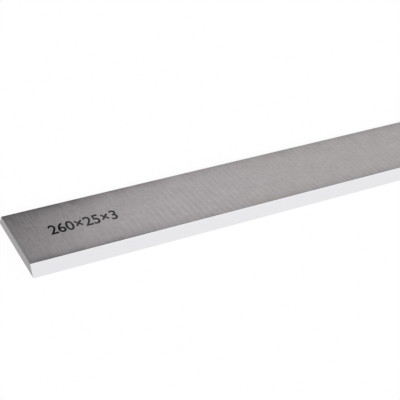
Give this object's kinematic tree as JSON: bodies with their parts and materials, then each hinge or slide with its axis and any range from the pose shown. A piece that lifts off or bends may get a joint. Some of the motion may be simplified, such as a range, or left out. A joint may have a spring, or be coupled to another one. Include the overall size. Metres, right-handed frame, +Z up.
{
  "type": "planer knife",
  "caption": "Long flat steel strip with a sharp, full-thickness bevel along its front edge, clamped in a planer's cutterblock to shave wood.",
  "frame": {"origin": "the middle of the flat face that the knife lies on, halfway along its length and width", "axes": "+X along the length, +Y from the cutting edge towards the square back, +Z up through the thickness"},
  "size_m": [0.26, 0.025, 0.003],
  "materials": {
    "tool_steel": "surface ground, with fine lines across the width"
  },
  "bodies": {
    "root": {"planer_knife": "tool_steel"}
  },
  "joints": []
}
